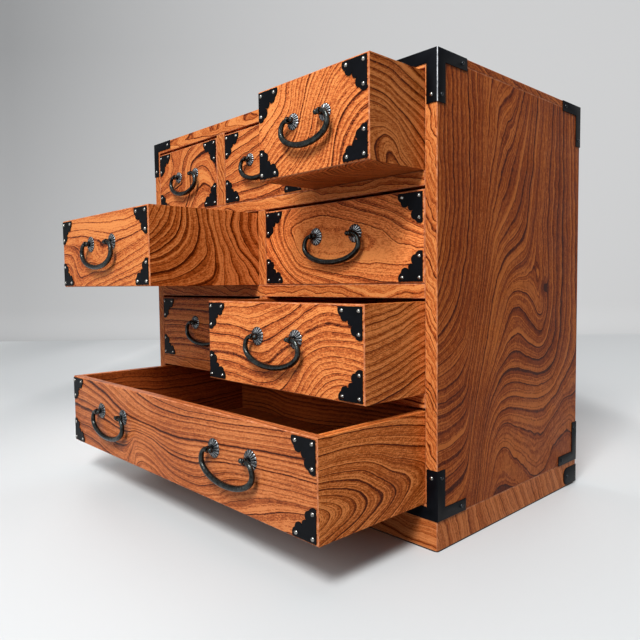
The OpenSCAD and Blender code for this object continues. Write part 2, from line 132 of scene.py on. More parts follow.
class Tree:
    """A material and short ways to add its nodes."""

    def __init__(self, name):
        self.material = bpy.data.materials.new(name)
        self.material.use_nodes = True
        self.tree = self.material.node_tree
        self.tree.nodes.clear()
        self.shader = self.add("ShaderNodeBsdfPrincipled")
        output = self.add("ShaderNodeOutputMaterial")
        self.tree.links.new(self.shader.outputs[0], output.inputs["Surface"])

    def add(self, kind, **values):
        node = self.tree.nodes.new(kind)
        for key, value in values.items():
            setattr(node, key, value)
        return node

    def put(self, socket, value):
        if isinstance(value, bpy.types.NodeSocket):
            self.tree.links.new(value, socket)
        else:
            socket.default_value = value

    def set(self, name, value):
        self.put(self.shader.inputs[name], value)

    def math(self, operation, a, b=0.0, c=0.0, clamp=False):
        node = self.add("ShaderNodeMath", operation=operation, use_clamp=clamp)
        for socket, value in zip(node.inputs, (a, b, c)):
            self.put(socket, value)
        return node.outputs[0]

    def vector(self, operation, a, b=(0, 0, 0)):
        node = self.add("ShaderNodeVectorMath", operation=operation)
        self.put(node.inputs[0], a)
        self.put(node.inputs[1], b)
        return node.outputs[0]

    def place(self):
        """The point in the object's own frame, in millimetres."""
        coordinates = self.add("ShaderNodeTexCoord").outputs["Object"]
        return self.vector("MULTIPLY", coordinates, (MM, MM, MM))

    def split(self, vector):
        """The three parts of a vector."""
        node = self.add("ShaderNodeSeparateXYZ")
        self.put(node.inputs[0], vector)
        return node.outputs

    def noise(self, vector, scale, detail=2.0, roughness=0.5):
        """Noise from 0 to 1, with scale in features per unit of the vector."""
        node = self.add("ShaderNodeTexNoise")
        self.put(node.inputs["Vector"], vector)
        node.inputs["Scale"].default_value = scale
        node.inputs["Detail"].default_value = detail
        node.inputs["Roughness"].default_value = roughness
        return node.outputs["Fac"]

    def noise_along(self, value):
        """Noise from 0 to 1 along a line."""
        node = self.add("ShaderNodeTexNoise", noise_dimensions="1D")
        self.put(node.inputs["W"], value)
        node.inputs["Detail"].default_value = 1
        return node.outputs["Fac"]

    def centred(self, value):
        """Moves a value from 0..1 to -0.5..0.5."""
        return self.math("SUBTRACT", value, 0.5)

    def sharpened(self, noise, middle_half):
        """Stretches the middle part of a noise, which is about 0.5, to -0.5..0.5."""
        return self.range(noise, 0.5 - middle_half, 0.5 + middle_half, -0.5, 0.5)

    def curve(self, x, points):
        """A smooth curve through points, at x."""
        low = min(p[1] for p in points)
        span = max(p[1] for p in points) - low
        node = self.add("ShaderNodeFloatCurve")
        line = node.mapping.curves[0]
        line.points[0].location = (points[0][0], (points[0][1] - low) / span)
        line.points[1].location = (points[-1][0], (points[-1][1] - low) / span)
        for px, py in points[1:-1]:
            line.points.new(px, (py - low) / span)
        node.mapping.update()
        self.put(node.inputs["Value"], x)
        return self.math("MULTIPLY_ADD", node.outputs[0], span, low)

    def ramp(self, factor, stops):
        node = self.add("ShaderNodeValToRGB")
        stripe = node.color_ramp
        while len(stripe.elements) < len(stops):
            stripe.elements.new(0.5)
        for element, (position, colour) in zip(stripe.elements, stops):
            element.position = position
            element.color = colour
        self.put(node.inputs[0], factor)
        return node.outputs[0]

    def mix(self, factor, a, b, blend="MIX"):
        node = self.add("ShaderNodeMix", data_type="RGBA", blend_type=blend)
        self.put(node.inputs[0], factor)
        self.put(node.inputs[6], a)
        self.put(node.inputs[7], b)
        return node.outputs[2]

    def range(self, value, low, high, to_low=0.0, to_high=1.0):
        node = self.add("ShaderNodeMapRange")
        for socket, number in zip(node.inputs, (value, low, high, to_low, to_high)):
            self.put(socket, number)
        return node.outputs[0]

    def bump(self, height, distance, strength=1.0):
        node = self.add("ShaderNodeBump")
        node.inputs["Strength"].default_value = strength
        node.inputs["Distance"].default_value = distance
        self.put(node.inputs["Height"], height)
        self.set("Normal", node.outputs[0])


# Wood. The growth lines of a board are the levels of a field over its face, one line to a unit.

KEYAKI = (tone(244, 152, 84), tone(206, 107, 53), tone(136, 60, 28), tone(56, 21, 10))
LONG = (tone(224, 137, 81), tone(182, 96, 50), tone(122, 56, 29), tone(58, 23, 12))
RAIL = (tone(236, 150, 84), tone(206, 112, 54), tone(150, 66, 28), tone(82, 32, 11))
# The case wood is darker than the fronts: partly its own tone and partly painted shade for the case's sides
CASE = (tone(210, 117, 54), tone(157, 70, 22), tone(106, 38, 6), tone(62, 18, 2))
PLINTH = (tone(232, 142, 82), tone(200, 108, 54), tone(150, 68, 26), tone(96, 38, 12))
BOX = (tone(242, 146, 78), tone(190, 96, 38), tone(130, 54, 11), tone(78, 26, 2))
INSIDE = (tone(180, 92, 40), tone(150, 70, 28), tone(106, 46, 18), tone(66, 28, 12))
TONE_PLACES = (0, 0.3, 0.68, 1)
AXES = {"x": 0, "y": 1, "z": 2}
SEED_STEP = (311.7, 173.3, 97.1)  # how far apart two boards with seeds one apart are in the noise, in mm

# How dark a growth line is from its sharp edge to the next line's, and the same for the hair lines between two
RING = [(0, 0.1), (0.03, 0.65), (0.065, 1), (0.115, 0.82), (0.21, 0.44), (0.42, 0.22), (0.75, 0.05), (1, 0.1)]
HAIR = [(0, 0), (0.25, 1), (0.5, 0.2), (1, 0)]
HAIRS, HAIR_DEPTH = 4.0, 0.3
FAINT_LINE, STRONG_LINE = 0.5, 1.05

# Scales are in features of a noise per mm, but NEAR_SCALE is in features per bend and FLOW_PER_LINE per growth
# line. Depths are darkness from 0 to 1.
NEAR_SCALE = 3.2
FINE_SCALE, FINE_LINES = 0.11, 0.1
FLOW_SCALE, FLOW_PER_LINE = 0.15, 6.0
DASH_SCALE, DASH_SCALE_ALONG, DASH_DEPTH = 0.95, 0.24, 0.36
SPECK_SCALE, SPECK_SCALE_ALONG, SPECK_DEPTH = 1.15, 0.6, 0.12
BROKEN_LINE, SPECKED_HAIR = 0.3, 0.8
PATCH_SCALE, PATCH_DEPTH = 0.011, 0.45
GLOSS_SCALE = 0.05

# Slow changes from line to line, of the width between lines and of their darkness, with scales in features
# per line
WANDER_SCALE, WANDER_LINES = 0.45, 0.6
BAND_SCALE, BAND_DEPTH = 0.31, 0.6
BASE_DEPTH = 0.04


def row_share(t, place, row):
    """How much a row gives at a place counted in rows, for a smooth sheet through evenly spaced rows."""
    away = t.math("ABSOLUTE", t.math("SUBTRACT", place, row))
    square = t.math("MULTIPLY", away, away)
    close = t.math("MULTIPLY_ADD", square, t.math("MULTIPLY_ADD", away, 1.5, -2.5), 1.0)
    left = t.math("MAXIMUM", t.math("SUBTRACT", 2.0, away), 0.0)
    far = t.math("MULTIPLY", t.math("MULTIPLY", left, left), t.math("MULTIPLY_ADD", away, -0.5, 0.5))
    return t.math("ADD", far, t.math("MULTIPLY", t.math("LESS_THAN", away, 1.0), t.math("SUBTRACT", close, far)))


def row_sheet(t, rows, u, v, length):
    """The field through evenly spaced rows of (mm along the board, lines), which runs straight on past them."""
    place = t.math("MULTIPLY", v, len(rows) - 1)
    before, *shares, after = [row_share(t, place, i) for i in range(-1, len(rows) + 1)]
    shares[0] = t.math("MULTIPLY_ADD", before, 2.0, shares[0])
    shares[1] = t.math("SUBTRACT", shares[1], before)
    shares[-1] = t.math("MULTIPLY_ADD", after, 2.0, shares[-1])
    shares[-2] = t.math("SUBTRACT", shares[-2], after)
    field = 0.0
    for row, share in zip(rows, shares):
        points = [(min(x / length, 1), lines) for x, lines in row]
        if points[-1][0] < 0.999:
            (x0, y0), (x1, y1) = points[-2:]
            points.append((1, y1 + (y1 - y0) / (x1 - x0) * (1 - x1)))
        field = t.math("MULTIPLY_ADD", t.curve(u, points), share, field)
    return field


def stretched(t, point, scale, scale_along, fibre, detail, roughness):
    """Noise of small features, longer along the fibres."""
    scales = [scale] * 3
    scales[AXES[fibre]] = scale_along
    return t.noise(t.vector("MULTIPLY", point, tuple(scales)), 1.0, detail, roughness)


def keyaki(name, box, plane, rows=None, along=None, up_lines=None, start=None, knots=(), across=0.2,
           waves=(0.2, 0.15), size=60, tones=KEYAKI, fibre="x", seed=0, gloss=0.36, bold=1.0, light=1.0, pores=1.0,
           flow_depth=0.22):
    """Figured wood. Rows give the field, from the lowest row to the highest, as (mm along the board, lines), or it
    is the sum of two curves: along and up_lines are lines against the place along and up the board. Knots are
    (mm along, mm up, two radii, lines, stain). The field changes by across lines per mm into the board, and waves
    are the lines that bends of about size mm, and of a third of it, add."""
    t = Tree(name)
    low, high = box
    point = t.place()
    parts = t.split(point)
    a, b = AXES[plane[0]], AXES[plane[1]]
    depth = parts[3 - a - b]
    shifted = t.vector("ADD", point, tuple(seed * step for step in SEED_STEP))
    first = (low[a] if start is None else start) * MM
    length = high[a] * MM - first
    height = (high[b] - low[b]) * MM

    wide = t.centred(t.noise(shifted, 1 / size, 1.5, 0.45))
    near = t.centred(t.noise(shifted, NEAR_SCALE / size, 2.0, 0.5))
    fine = t.centred(t.noise(shifted, FINE_SCALE, 2.0, 0.5))
    push = 4 if rows else 12  # mm between the two ends of what the noise moves a place by
    u = t.math("MULTIPLY_ADD", near, push / length, t.range(parts[a], first, first + length))
    v = t.math("MULTIPLY_ADD", wide, push / height, t.range(parts[b], low[b] * MM, high[b] * MM))
    if rows:
        field = row_sheet(t, rows, u, v, length)
    else:
        field = t.math("ADD", t.curve(u, along), t.curve(v, up_lines))
    stain = 0.0
    for x, y, rx, ry, lines, dark in knots:
        du = t.math("MULTIPLY", t.math("SUBTRACT", u, x / length), length / rx)
        dv = t.math("MULTIPLY", t.math("SUBTRACT", v, y / height), height / ry)
        spread = t.math("ADD", t.math("MULTIPLY", du, du), t.math("MULTIPLY", dv, dv))
        hill = t.math("EXPONENT", t.math("MULTIPLY", spread, -1.0))
        field = t.math("MULTIPLY_ADD", hill, lines, field)
        stain = t.math("MULTIPLY_ADD", hill, dark, stain)
    for change, lines in ((depth, across), (wide, 2 * waves[0]), (near, 2 * waves[1]), (fine, FINE_LINES)):
        field = t.math("MULTIPLY_ADD", change, lines, field)

    # Rings of uneven width, each with a sharp edge and a fading one
    wander = t.noise_along(t.math("MULTIPLY_ADD", field, WANDER_SCALE, seed))
    field = t.math("MULTIPLY_ADD", wander, WANDER_LINES, field)
    ring = t.curve(t.math("FRACT", field), RING)
    pick = t.add("ShaderNodeTexWhiteNoise", noise_dimensions="1D")
    t.put(pick.inputs["W"], t.math("FLOOR", field))
    line = t.math("MULTIPLY", ring, t.range(pick.outputs["Value"], 0, 1, FAINT_LINE * bold, STRONG_LINE * bold))
    hair = t.math("MULTIPLY", t.curve(t.math("FRACT", t.math("MULTIPLY", field, HAIRS)), HAIR), HAIR_DEPTH)

    # Pores that follow the rings and break them into dots, and short dashes along the fibres
    flow = t.add("ShaderNodeCombineXYZ")
    t.put(flow.inputs[0], t.math("MULTIPLY", field, FLOW_PER_LINE))
    flowing = t.vector("ADD", t.vector("MULTIPLY", shifted, (FLOW_SCALE,) * 3), flow.outputs[0])
    dots = t.sharpened(t.noise(flowing, 1.0, 3.0, 0.62), 0.16)
    fibres = stretched(t, shifted, DASH_SCALE, DASH_SCALE_ALONG, fibre, 2.0, 0.65)
    dashes = t.sharpened(fibres, 0.14)
    specks = t.sharpened(stretched(t, shifted, SPECK_SCALE, SPECK_SCALE_ALONG, fibre, 1.5, 0.6), 0.14)
    breaks = t.math("MULTIPLY_ADD", t.math("ADD", dots, specks), BROKEN_LINE * pores, 1.0)
    line = t.math("MULTIPLY_ADD", hair, t.math("ADD", specks, SPECKED_HAIR), t.math("MULTIPLY", line, breaks))
    pore = t.math("MULTIPLY_ADD", dots, flow_depth * pores, t.math("MULTIPLY", dashes, DASH_DEPTH * pores))
    pore = t.math("MULTIPLY_ADD", specks, SPECK_DEPTH * pores, pore)

    patch = t.math("MULTIPLY_ADD", t.centred(t.noise(shifted, PATCH_SCALE, 1.0)), PATCH_DEPTH, stain)
    band = t.noise_along(t.math("MULTIPLY_ADD", field, BAND_SCALE, seed + 5))
    dark = t.math("ADD", t.math("ADD", line, pore), patch)
    dark = t.math("ADD", dark, t.math("MULTIPLY_ADD", band, BAND_DEPTH, -BAND_DEPTH / 2))
    dark = t.math("ADD", dark, BASE_DEPTH, clamp=True)
    # light scales this board's colour, partly its own tone and partly painted light and shade for how lit the board
    # looks
    fibre_tone_and_painted_light = t.range(fibres, 0.3, 0.7, 0.93 * light, 1.06 * light)
    grey = t.add("ShaderNodeCombineColor")
    for socket in grey.inputs:
        t.put(socket, fibre_tone_and_painted_light)
    t.set("Base Color", t.mix(1.0, t.ramp(dark, list(zip(TONE_PLACES, tones))), grey.outputs[0], "MULTIPLY"))
    t.set("Roughness", t.range(t.noise(shifted, GLOSS_SCALE, 2.0), 0.3, 0.7, gloss - 0.05, gloss + 0.08))
    t.set("Specular IOR Level", 0.07)
    t.bump(t.math("SUBTRACT", 1.0, t.math("ADD", t.math("MULTIPLY", ring, 0.5), pore)), 0.00006, 0.4)
    return t.material


# A face looks along an axis when its unit normal reaches this far along it
FACING = 0.9
EDGE_SLOT = 1


def dress(node, *materials):
    """Gives a CAD node its materials, the first one on every face."""
    mesh = nodes[node].data
    mesh.materials.clear()
    for material in materials:
        mesh.materials.append(material)
    for polygon in mesh.polygons:
        polygon.material_index = 0


def soften(node, width, slot=None, smooth=False):
    """Joins the faces' corners and rounds the edges of a CAD node."""
    piece = nodes[node]
    weld = piece.modifiers.new("weld", "WELD")
    weld.merge_threshold = 0.00001
    bevel = piece.modifiers.new("bevel", "BEVEL")
    bevel.width = width
    bevel.segments = 2
    bevel.limit_method = "ANGLE"
    bevel.angle_limit = math.radians(35)
    bevel.harden_normals = smooth
    if slot is not None:
        bevel.material = slot
    for polygon in piece.data.polygons:
        polygon.use_smooth = smooth


def edge_wood_and_highlight(name):
    """The paler wood of an edge, partly worn and partly a painted highlight on its rounding."""
    t = Tree(name)
    grain = t.noise(t.place(), 0.25, 3.0)
    t.set("Base Color", t.ramp(grain, [(0.3, tone(160, 84, 46)), (0.5, tone(198, 120, 78)),
                                       (0.7, tone(220, 152, 114))]))
    t.set("Roughness", 0.45)
    t.set("Specular IOR Level", 0.12)
    return t.material


edge = edge_wood_and_highlight("edge_wood_and_highlight")


def rise(lines, *bends):
    """A curve that rises by a number of lines, with bends (place, extra lines)."""
    points = [(0, 0)]
    for place, extra in bends:
        points.append((place, lines * place + extra))
    points.append((1, lines))
    return points


# Case boards. A side board has dense straight grain in front, a leaf-shaped figure, and a knot that the lines
# run round and under, into long waves.
SIDE_ROWS = (
    [(0, 24), (12, 24.3), (25, 24.6), (40, 25.6), (50, 28.5), (62, 32.5), (75, 35.6), (87, 36.6),
     (100, 36.9), (125, 36.6), (150, 36.1), (172, 35.8), (200, 36.35), (225, 36.6), (254, 36.2)],
    [(0, 19.6), (25, 19.9), (40, 20.5), (50, 23.5), (62, 28), (75, 32.3), (87, 34.2), (100, 34.9),
     (125, 34.6), (150, 34.25), (172, 34), (200, 34.5), (225, 35.1), (254, 35.1)],
    [(0, 14.2), (25, 15), (40, 16), (50, 18), (62, 21.5), (75, 25), (87, 27.6), (100, 29.2), (112, 29.8),
     (125, 29.95), (150, 29.5), (172, 29.2), (185, 29.5), (200, 30.1), (212, 31.2), (225, 32.3),
     (240, 33.2), (254, 33.8)],
    [(0, 6.5), (12, 8.2), (25, 10), (37, 11.8), (50, 14), (62, 17), (75, 20.3), (87, 23), (100, 25),
     (112, 26.3), (125, 26.8), (140, 26.7), (155, 26.4), (172, 26), (180, 26.8), (190, 28), (200, 29),
     (212, 30.2), (225, 31.3), (240, 32.9), (254, 34)],
    [(0, 3), (12, 5), (25, 7.2), (37, 9.4), (50, 11.8), (62, 14.2), (75, 16.6), (87, 18.6), (97, 19.6),
     (110, 20.4), (125, 21.3), (140, 22.6), (150, 24.2), (160, 25.4), (172, 26.6), (185, 27.8),
     (200, 29.2), (212, 30.3), (225, 31.6), (240, 33.1), (254, 34.3)],
    [(0, 3.2), (12, 5.2), (25, 7.3), (37, 9.5), (50, 11.6), (62, 13.5), (75, 15), (85, 15.8), (92, 16.7),
     (105, 17.6), (118, 18.4), (128, 19.3), (140, 20.4), (150, 22), (160, 23.8), (172, 25.6), (185, 27.2),
     (200, 28.8), (212, 30.1), (225, 31.8), (240, 33.4), (254, 34.8)],
    [(0, 3.4), (12, 5.4), (25, 7.6), (37, 9.8), (48, 11.8), (62, 13.1), (67, 14), (75, 14.5), (100, 15.2),
     (118, 15.7), (128, 16.8), (140, 18.2), (150, 20), (160, 22.4), (172, 24.6), (185, 26.5), (200, 28.5),
     (212, 30.2), (225, 32), (240, 33.8), (254, 35.3)],
)
SIDE_KNOTS = [(178, 189, 7, 9, 1.2, 0.5), (176, 212, 4, 12, 0.5, 0.1), (135, 285, 32, 38, 0, 0.18),
              (88, 200, 10, 110, 0, -0.16), (30, 230, 18, 60, 0, 0.1)]
for n, seed in (("side_left", 3.1), ("side_right", 1.3)):
    dress(n, keyaki(n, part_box(n), "yz", rows=SIDE_ROWS, knots=SIDE_KNOTS, waves=(0.25, 0.2), size=80, tones=CASE,
                    fibre="z", seed=seed, bold=0.9, pores=0.65), edge)


def plain_board(node, plane, along, up_lines, tones=CASE, **rest):
    """Dresses a board whose figure is the sum of two curves."""
    dress(node, keyaki(node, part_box(node), plane, along=along, up_lines=up_lines, tones=tones, **rest), edge)


plain_board("top_board", "xy", rise(9, (0.3, 3), (0.6, -2)), rise(22, (0.4, -3)), waves=(2.5, 0.8), size=90, seed=2.2,
            bold=0.6)
plain_board("bottom_board", "xy", rise(8, (0.4, 2)), rise(20), across=0.18, waves=(2.0, 0.8), size=80, seed=4.4)
plain_board("back_panel", "xz", rise(6, (0.5, 5)), rise(26, (0.5, 4)), BOX, across=0.1, waves=(3.0, 0.8), size=110,
            seed=5.5, bold=0.65)
for n, seed in (("shelf_upper", 6.1), ("shelf_middle", 7.3), ("shelf_lower", 8.2)):
    plain_board(n, "xy", rise(26, (0.2, 2), (0.5, -3), (0.8, 3)), rise(16), across=0.16, waves=(2.0, 0.8), size=50,
                seed=seed)
for n, seed in (("divider_top_left", 9.1), ("divider_top_right", 9.7), ("divider_upper", 10.4),
                ("divider_lower", 11.2)):
    plain_board(n, "yz", rise(12), rise(5), waves=(1.5, 0.6), size=40, fibre="z", seed=seed)

PLINTH_ROWS = (
    [(0, 0), (40, 3), (90, 6), (140, 10), (190, 15), (254, 20)],
    [(0, 0.6), (40, 3.4), (90, 6.9), (140, 11.3), (190, 16.2), (254, 21)],
)
plinth_side = keyaki("plinth_side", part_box("plinth"), "yz", rows=PLINTH_ROWS, across=0.05, waves=(0.25, 0.15),
                     tones=PLINTH, fibre="z", seed=12.6, bold=0.42, pores=0.5)
# light=0.86 makes the plinth's front darker than its sides: painted shade under the long drawer
plinth_front = keyaki("plinth_front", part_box("plinth"), "xz", along=rise(6, (0.5, 1)), up_lines=rise(3), across=0.05,
                      waves=(0.5, 0.25), tones=PLINTH, seed=12.9, bold=0.5, light=0.86, pores=0.5)
dress("plinth", plinth_side, edge, plinth_front)
for polygon in nodes["plinth"].data.polygons:
    if abs(polygon.normal.y) > FACING:
        polygon.material_index = 2

# The boards' front edges are the stiles and rails between the drawers
STILES = ("side_left", "side_right", "divider_top_left", "divider_top_right", "divider_upper", "divider_lower")
RAILS = ("top_board", "bottom_board", "shelf_upper", "shelf_middle", "shelf_lower")
case_low, case_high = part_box("side_left")[0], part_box("side_right")[1]
# The rail and stile light values are painted shade, darkening them to how lit they look
rail = keyaki("rail_wood", (case_low, case_high), "xz", along=rise(5, (0.4, 1)), up_lines=rise(58), across=0.3,
              waves=(1.2, 0.5), tones=RAIL, seed=14.2, bold=0.85, pores=0.8, light=0.96)
stile = keyaki("stile_wood", (case_low, case_high), "xz", along=rise(100), up_lines=rise(46, (0.4, 4)), across=0.3,
               waves=(0.8, 0.4), tones=RAIL, fibre="z", seed=15.8, bold=0.85, pores=0.8, light=0.87)
for n in STILES + RAILS:
    mesh = nodes[n].data
    mesh.materials.append(stile if n in STILES else rail)
    for polygon in mesh.polygons:
        if polygon.normal.y < -FACING:
            polygon.material_index = 2
# Rounded edges of these boards take the pale edge wood, partly worn and partly painted highlight
for n in STILES + RAILS + ("plinth",):
    soften(n, 0.0006, EDGE_SLOT)
soften("back_panel", 0.0004)

# Drawer fronts: their figures, and places that are paler and plainer or stained, as keyaki() takes them
FRONT_ROWS = {
    "top_left": (
        [(0, 4), (20, 4.2), (40, 3.8), (54, 3.4), (62, 4.2), (70, 5.4), (85, 6.6), (100, 7), (131, 6.4)],
        [(0, 1.2), (20, 1.6), (40, 1.8), (55, 1.8), (60, 2), (70, 3.2), (80, 4.6), (95, 5.6), (110, 5.6),
         (122, 5), (131, 4.4)],
        [(0, -0.4), (30, 0.4), (50, 1.1), (63, 2), (72, 3.2), (82, 4.1), (100, 4.5), (117, 4.1),
         (131, 3.2)],
        [(0, 0), (40, 0.6), (74, 1.2), (92, 2), (110, 3), (131, 4)],
    ),
    "top_middle": (
        [(0, 5.6), (28, 5.6), (60, 5.7), (100, 6.2), (131, 6.6)],
        [(0, 2.9), (28, 3.3), (60, 3.5), (100, 4.2), (131, 4.8)],
        [(0, 0.5), (28, 1.3), (60, 2), (100, 3), (131, 3.6)],
        [(0, -1.8), (60, -0.6), (100, 0.6), (131, 1.4)],
    ),
    "top_right": (
        [(0, 3), (8, 4), (28, 7), (50, 10), (75, 13.5), (92, 16), (100, 18), (109, 20), (120, 22),
         (131, 23.5)],
        [(0, -0.5), (7, 0), (24, 1.8), (41, 3.5), (60, 7), (77, 10), (88, 13.5), (98, 16), (110, 18),
         (122, 19.6), (131, 20.2)],
        [(0, -3), (20, -1.8), (41, 0), (56, 3.5), (69, 7), (85, 10), (100, 13.5), (115, 15), (131, 16)],
        [(0, -6), (20, -4), (34, -2), (48, 0), (67, 3.5), (84, 6.3), (100, 8.7), (112, 10.2), (131, 12)],
    ),
    "upper_left": (
        [(0, 7.2), (17, 6.6), (31, 5.4), (44, 5), (60, 5.6), (83, 6.4), (111, 7.4), (153, 8.8),
         (206, 10.2)],
        [(0, 5.6), (17, 5.4), (31, 4.6), (40, 4), (55, 3.5), (83, 3.4), (105, 3.2), (125, 3.8),
         (153, 4.6), (180, 5.6), (206, 6.6)],
        [(0, 3.2), (22, 3), (56, 2.8), (92, 2.3), (111, 2), (130, 1.9), (150, 2), (172, 2.3), (206, 3.1)],
        [(0, 0), (60, -0.3), (120, -0.6), (206, 0.2)],
    ),
    "upper_right": (
        [(0, 10), (20, 9.3), (42, 7.8), (60, 6.6), (84, 5.4), (110, 4.6), (139, 4), (181, 3.6),
         (206, 3.5)],
        [(0, 8.4), (14, 7.4), (31, 5.6), (42, 4.2), (54, 2.9), (64, 2.5), (80, 2.3), (110, 2.1),
         (150, 2.1), (181, 2.2), (206, 2.5)],
        [(0, 7.2), (12, 6), (26, 4.3), (33, 3.2), (42, 2.5), (60, 2.2), (90, 2), (120, 2.1), (150, 2.5),
         (181, 4), (206, 5.6)],
        [(0, 7), (12, 6), (31, 4.2), (50, 3.3), (64, 3.1), (90, 3.3), (112, 3.9), (150, 5.5), (181, 7),
         (206, 8.5)],
    ),
    "lower_left": (
        [(0, 9), (60, 9.6), (120, 9.2), (206, 8.2)],
        [(0, 6), (60, 6.4), (120, 5.8), (206, 5.2)],
        [(0, 3), (60, 3), (120, 2.6), (206, 2.8)],
        [(0, 0), (60, -0.6), (120, -0.2), (206, 0.2)],
    ),
    "lower_right": (
        [(0, 8.6), (42, 8.6), (83, 8.2), (111, 9), (125, 10.5), (135, 12), (150, 14.5), (165, 16.8),
         (178, 18.2), (190, 18.8), (206, 18.4)],
        [(0, 5.8), (42, 5.8), (83, 5.2), (105, 6.2), (122, 7.4), (135, 9), (142, 10), (155, 11.6),
         (167, 12.6), (178, 13), (206, 12.2)],
        [(0, 3), (42, 2.9), (69, 2.5), (92, 3), (111, 3.8), (130, 5), (150, 6.3), (165, 7), (178, 7.2),
         (206, 6.8)],
        [(0, 0), (60, 0.3), (100, 0.9), (130, 2), (145, 3), (165, 3.6), (185, 3.2), (206, 2.6)],
    ),
    "long": (
        [(0, 14), (50, 13.6), (100, 12.8), (125, 12.6), (140, 13.4), (150, 14.8), (162, 16.4),
         (180, 16.8), (212, 15.4), (240, 14.2), (270, 14), (300, 14.6), (350, 16), (425, 17.6)],
        [(0, 11.5), (50, 11.3), (100, 11), (125, 10.9), (140, 11.3), (150, 12.3), (160, 13), (180, 12.6),
         (212, 10.6), (240, 9.8), (260, 9.9), (280, 10.6), (300, 11.6), (333, 13), (370, 14), (425, 15)],
        [(0, 9), (65, 8.3), (111, 6.6), (139, 5.6), (167, 5), (225, 4.4), (250, 4.7), (278, 5.2),
         (333, 6.2), (425, 8)],
        [(0, 6.5), (30, 6), (65, 5), (100, 3.8), (139, 2.4), (180, 1), (225, 0), (260, -0.3), (300, 0),
         (350, 0.8), (425, 2.2)],
    ),
}
FRONT_KNOTS = {
    "top_right": [(14, 50, 16, 22, 0, -0.2)],
    "upper_left": [(95, 62, 75, 13, 0, -0.32), (40, 46, 20, 9, 0, 0.22)],
    "lower_right": [(70, 60, 45, 10, 0, -0.2)],
    "upper_right": [(100, 36, 58, 18, 0, -0.26), (150, 24, 28, 9, 0, -0.18)],
    "long": [(378, 20, 18, 5, 0, 0.14), (262, 40, 26, 8, 0, -0.2)],
}
# Seed, strength of the front's lines, and how light the front and the box are, which is partly each board's own tone
# and partly painted light and shade
DRAWERS = {
    "top_left": (21.3, 1.0, 0.88, 1.0),
    "top_middle": (22.7, 1.0, 0.9, 1.0),
    "top_right": (23.1, 0.8, 0.98, 0.74),
    "upper_left": (24.9, 0.92, 0.95, 0.8),
    "upper_right": (25.4, 1.15, 1.07, 1.0),
    "lower_left": (26.8, 1.0, 0.95, 1.0),
    "lower_right": (27.2, 0.9, 0.97, 1.0),
    "long": (28.5, 1.12, 0.96, 1.06),
}

# Drawer sides, from the front's face backwards
SLOPING = (
    [(0, 15), (30, 16), (72, 18.6), (150, 22)],
    [(0, 7.6), (30, 8.8), (72, 11.4), (150, 14)],
    [(0, 0), (30, 1.2), (72, 4), (150, 6)],
)
LEVEL = (
    [(0, 14), (60, 14.6), (120, 13.4), (240, 15)],
    [(0, 7), (60, 7.6), (120, 6.2), (240, 7)],
    [(0, 0), (60, 0), (120, -0.8), (240, 0)],
)
SIDE_FIGURES = {
    "top_left": LEVEL,
    "top_middle": SLOPING,
    "top_right": (
        [(0, 10.8), (12, 11.5), (25, 12.6), (38, 12), (46, 11.2), (55, 9.4), (65, 7.8)],
        [(0, 10.6), (12, 11.2), (18, 11.5), (30, 10.8), (37, 9), (52, 6.8), (65, 5.6)],
        [(0, 7.8), (14, 7.7), (25, 6.9), (38, 5.6), (50, 4.6), (65, 3.6)],
        [(0, 3.8), (16, 3.6), (38, 2.2), (65, 1)],
        [(0, 0), (26, 0), (45, -0.6), (65, -1.6)],
    ),
    "upper_left": (
        [(0, 10.3), (30, 10.9), (55, 11.2), (70, 11.5), (89, 12.5), (111, 13.5), (127, 14.4)],
        [(0, 8), (20, 8.6), (40, 9.5), (64, 10.5), (79, 11.5), (88, 12.5), (102, 13.5), (119, 15),
         (127, 15.7)],
        [(0, 4.6), (9, 5.5), (33, 7.5), (56, 9.5), (68, 10.5), (75, 11.5), (85, 12.5), (92, 13.5),
         (102, 15), (115, 16), (127, 17)],
        [(0, 1.8), (9, 3), (29, 5.5), (44, 7.5), (57, 9.5), (63, 10.5), (70, 11.5), (77, 12.5),
         (83, 13.5), (92, 15), (103, 16), (127, 18)],
        [(0, 0), (18, 3), (32, 5.5), (42, 7.5), (54, 9.5), (66, 11.5), (73, 12.5), (80, 13.5), (94, 15),
         (102, 16), (127, 18)],
    ),
    "upper_right": SLOPING,
    "lower_left": LEVEL,
    "lower_right": SLOPING,
    "long": (
        [(0, 8.2), (20, 7), (40, 6), (56, 5.2), (66, 4.6), (84, 3.9), (100, 3.2), (121, 2.4)],
        [(0, 11.4), (20, 9.6), (40, 8), (49, 7.3), (60, 6.6), (70, 6.1), (78, 5.6), (90, 4.9), (100, 4.4),
         (121, 3.6)],
        [(0, 7.6), (20, 7), (40, 6.3), (55, 5.5), (66, 4.8), (80, 4.1), (100, 3.6), (121, 3.1)],
        [(0, 3.4), (30, 3.4), (60, 2.8), (80, 2.2), (121, 1.2)],
        [(0, 0), (60, -0.2), (121, -1.2)],
    ),
}
OUTER_SIDES = ((0, -1), (0, 1), (1, 1), (2, -1), (2, 1))  # all but the one towards the front, as (axis, way)
SAME_PLANE = 0.0005


def lies_on(polygon, low, high, axis, way):
    """Whether a face lies on the side of a box that looks along an axis, forwards or backwards."""
    gap = high[axis] - polygon.center[axis] if way > 0 else polygon.center[axis] - low[axis]
    return way * polygon.normal[axis] > FACING and gap < SAME_PLANE


